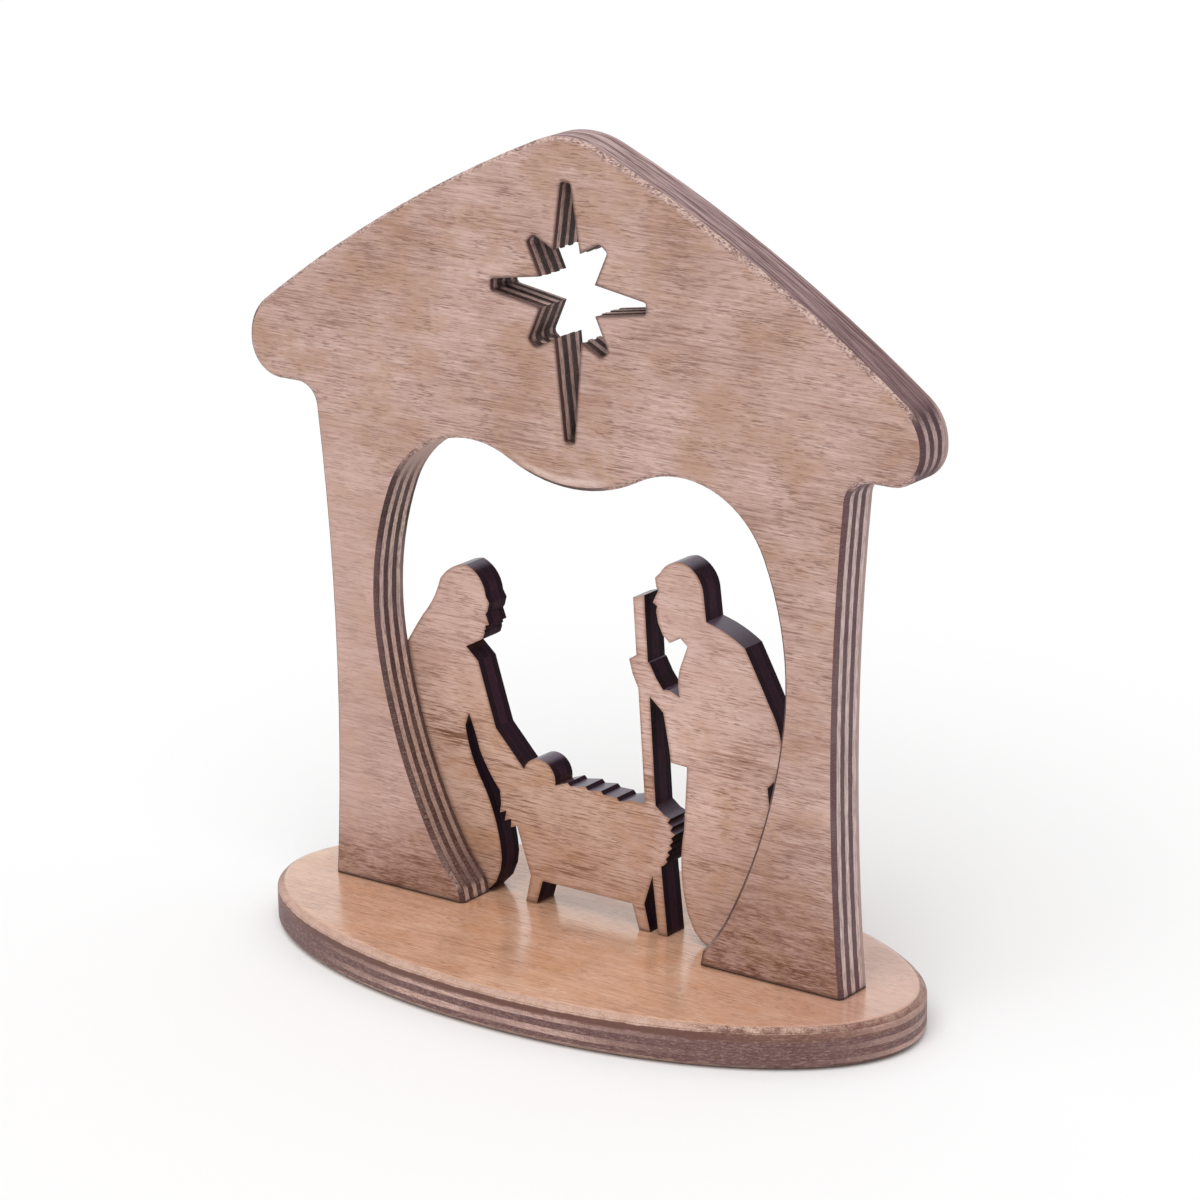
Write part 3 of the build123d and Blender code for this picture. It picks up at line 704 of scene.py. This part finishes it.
def rounding_group():
    """Marks the edges of a board to round, each with its radius, and keeps its other corners sharp."""
    board = {"Geometry": "Geometry"}
    values = {"Axis": "Vector", "Level": "Float", "Radius": "Float", "Standing": "Float"}
    w, given, result = new_group("edges to round", "GeometryNodeTree", {**board, **values}, board)
    angle = w.place("GeometryNodeInputMeshEdgeAngle").outputs["Unsigned Angle"]
    position = w.place("GeometryNodeInputPosition").outputs["Position"]
    ends = w.place("GeometryNodeInputMeshEdgeVertices").outputs
    run = w.vector("NORMALIZE", w.vector("SUBTRACT", ends["Position 1"], ends["Position 2"]))

    # The border of the outer face and the eased borders, rounded less where they stand upright
    off_level = w.maths("SUBTRACT", w.vector("DOT_PRODUCT", position, given["Axis"]), given["Level"])
    on_level = w.maths("LESS_THAN", w.maths("ABSOLUTE", off_level), LEVEL_PLAY)
    bent = w.maths("GREATER_THAN", angle, math.radians(EASED_TURN))
    eased = w.product(bent, w.maths("LESS_THAN", angle, math.radians(SQUARE_TURN)))
    upright = w.ease(w.maths("ABSOLUTE", w.vector("DOT_PRODUCT", run, AXIS_Z)), 0.55, 0.88)
    outer = w.product(w.maths("MAXIMUM", w.product(on_level, bent), w.product(eased, 0.5)), given["Radius"],
                      w.between(upright, 1.0, UPRIGHT_EDGE_SHARE))

    # The star: each veneer stands a little in or out, and the tips of the rays are blunt
    from_middle = w.vector("MULTIPLY", w.vector("SUBTRACT", position, STAR_MIDDLE), ON_THE_FACE)
    at_tips = w.maths("GREATER_THAN", w.vector("LENGTH", from_middle), STAR_TIPS_FROM)
    through = w.maths("GREATER_THAN", w.maths("ABSOLUTE", w.vector("DOT_PRODUCT", run, AXIS_Y)), 0.9)
    in_star = w.maths("LESS_THAN", star_nearness(w, position), STAR_BORDER)
    surface = w.place("GeometryNodeInputNormal").outputs["Normal"]
    outward = w.vector("NORMALIZE", w.vector("MULTIPLY", surface, ON_THE_FACE))
    stepped = w.place("GeometryNodeSetPosition", {"Geometry": given["Geometry"], "Selection": in_star,
                                                  "Offset": w.scaled(outward, given["Standing"])})
    tip = w.product(at_tips, through, bent, in_star)
    star_corner = w.product(on_level, bent, STAR_CORNER_ROUNDING)
    radius = w.between(in_star, outer, w.maths("MAXIMUM", star_corner, w.product(tip, STAR_TIP_ROUNDING)))

    marked = w.place("GeometryNodeStoreNamedAttribute", {
        "Geometry": stepped.outputs[0], "Name": "bevel_weight_edge",
        "Value": w.maths("DIVIDE", radius, ROUNDING)}, domain="EDGE", data_type="FLOAT")
    smooth = w.place("GeometryNodeSetShadeSmooth", {"Geometry": marked.outputs[0]}, domain="FACE")
    corner = w.maths("GREATER_THAN", angle, math.radians(CRISP_TURN))
    sharp = w.place("GeometryNodeSetShadeSmooth", {"Geometry": smooth.outputs[0], "Selection": corner,
                                                   "Shade Smooth": False}, domain="EDGE")
    w.feed(result["Geometry"], sharp.outputs[0])
    return w.tree


def round_edges(board, steps, axis, level, radius, standing):
    """Rounds the edges of a board on its outer face, its eased borders and the tips of the star."""
    weld_steps, marking_steps = steps
    weld = board.modifiers.new("weld", "NODES")
    weld.node_group = weld_steps
    flats = board.modifiers.new("flats", "DECIMATE")
    flats.decimate_type = "DISSOLVE"
    flats.angle_limit = math.radians(FLAT_TURN)
    marks = board.modifiers.new("marks", "NODES")
    marks.node_group = marking_steps
    values = {"Axis": axis, "Level": level, "Radius": radius, "Standing": standing}
    for item in marking_steps.interface.items_tree:
        if item.name in values:
            marks[item.identifier] = values[item.name]
    bevel = board.modifiers.new("rounding", "BEVEL")
    bevel.limit_method = "WEIGHT"
    bevel.width = ROUNDING
    bevel.segments = ROUNDING_STEPS
    bevel.use_clamp_overlap = True
    normals = board.modifiers.new("flat faces", "WEIGHTED_NORMAL")
    normals.keep_sharp = True


def dress_boards():
    """Gives every veneer and tenon its finish and its rounded edges."""
    finishes = {
        "stable": stable_board_finish(),
        "base": base_board_finish(),
        "figures": figures_board_finish(),
        "tenon": tenon_finish(),
    }
    outer_faces = {
        "stable_front_veneer": (AXIS_Y, STABLE_FRONT, STABLE_FRONT_ROUNDING),
        "stable_back_veneer": (AXIS_Y, STABLE_BACK, STABLE_BACK_ROUNDING),
        "base_top_veneer": (AXIS_Z, BASE_TOP, BASE_ROUNDING),
        "base_core_ply_1": (AXIS_Z, BASE_TOP, BASE_ROUNDING),
        "base_core_ply_5": (AXIS_Z, BASE_TOP, BASE_ROUNDING),
        "base_bottom_veneer": (AXIS_Z, BASE_BOTTOM, BASE_ROUNDING),
        "figures_front_veneer": (AXIS_Y, FIGURES_FRONT, FIGURE_ROUNDING),
        "figures_back_veneer": (AXIS_Y, FIGURES_BACK, FIGURE_ROUNDING),
    }
    no_outer_face = (AXIS_Y, STABLE_FRONT, 0.0)
    standing = {f"stable_core_ply_{ply}": STAR_VENEER_OUT if ply % 2 else STAR_VENEER_IN
                for ply in range(1, 6)}
    steps = (weld_group(), rounding_group())
    for name, board in frame["nodes"].items():
        board.data.materials.clear()
        board.data.materials.append(finishes[name.split("_")[0]])
        round_edges(board, steps, *outer_faces.get(name, no_outer_face), standing.get(name, 0.0))


def build_floor():
    """A plain white floor that keeps the shadow."""
    below = BASE_BOTTOM - FLOOR_GAP
    mesh = bpy.data.meshes.new("floor")
    corners = [(x, y, below) for x, y in ((-FLOOR_HALF, -FLOOR_HALF), (FLOOR_HALF, -FLOOR_HALF),
                                          (FLOOR_HALF, FLOOR_HALF), (-FLOOR_HALF, FLOOR_HALF))]
    mesh.from_pydata(corners, [], [(0, 1, 2, 3)])
    floor = bpy.data.objects.new("floor", mesh)
    bpy.context.scene.collection.objects.link(floor)
    material, w, shader, _, _ = new_finish("pale_floor")
    w.feed(shader.inputs["Base Color"], (FLOOR_WHITE, FLOOR_WHITE, FLOOR_WHITE, 1.0))
    w.feed(shader.inputs["Roughness"], 0.9)
    w.feed(shader.inputs["Specular IOR Level"], 0.1)
    mesh.materials.append(material)


def seen_directly(w):
    """1 for what the camera sees, straight, mirrored or through glass."""
    ray = w.place("ShaderNodeLightPath").outputs
    mirrored = w.maths("MAXIMUM", ray["Is Glossy Ray"], ray["Is Transmission Ray"])
    return w.maths("MAXIMUM", ray["Is Camera Ray"], mirrored)


def direction(azimuth, elevation):
    """From the object towards a place round it: azimuth 0 is in front of it, 90 to its right."""
    turn, rise = math.radians(azimuth), math.radians(elevation)
    return Vector((math.sin(turn) * math.cos(rise), -math.cos(turn) * math.cos(rise), math.sin(rise)))


def build_light():
    """An even white room, and one wide soft lamp high in front."""
    world = bpy.data.worlds.new("white room")
    bpy.context.scene.world = world
    world.use_nodes = True
    world.node_tree.nodes.clear()
    w = Wiring(world.node_tree)
    strength = w.between(seen_directly(w), ROOM_LIGHT, 1.0)
    room = w.place("ShaderNodeBackground", {"Color": (1.0, 1.0, 1.0, 1.0), "Strength": strength})
    w.place("ShaderNodeOutputWorld", {"Surface": room.outputs[0]})

    lamp = bpy.data.lights.new("lamp", "SUN")
    lamp.energy = LAMP_STRENGTH
    lamp.angle = math.radians(LAMP_SPREAD)
    lamp_object = bpy.data.objects.new("lamp", lamp)
    towards = direction(LAMP_AZIMUTH, LAMP_ELEVATION)
    lamp_object.rotation_euler = towards.to_track_quat("Z", "Y").to_euler()
    lamp_object.visible_glossy = False
    bpy.context.scene.collection.objects.link(lamp_object)


def build_camera():
    """The photograph's camera, from its angles, distance and slight roll."""
    roll = math.radians(CAMERA_ROLL)
    back = direction(CAMERA_AZIMUTH, CAMERA_ELEVATION)
    level_right = (-back).cross(Vector(AXIS_Z)).normalized()
    level_up = level_right.cross(-back)
    right = level_right * math.cos(roll) + level_up * math.sin(roll)
    up = level_up * math.cos(roll) - level_right * math.sin(roll)
    lens = bpy.data.cameras.new("camera")
    lens.sensor_width = SENSOR_WIDTH
    lens.lens = FOCAL_PIXELS / FRAME_PIXELS * SENSOR_WIDTH
    camera = bpy.data.objects.new("camera", lens)
    stand = Matrix((right, up, back)).transposed().to_4x4()
    stand.translation = (Vector(CAMERA_TARGET) + back * CAMERA_DISTANCE) * MM
    camera.matrix_world = stand
    bpy.context.scene.collection.objects.link(camera)
    bpy.context.scene.camera = camera


bpy.context.scene.view_settings.view_transform = "Standard"
dress_boards()
build_floor()
build_light()
build_camera()

bpy.context.view_layer.update()
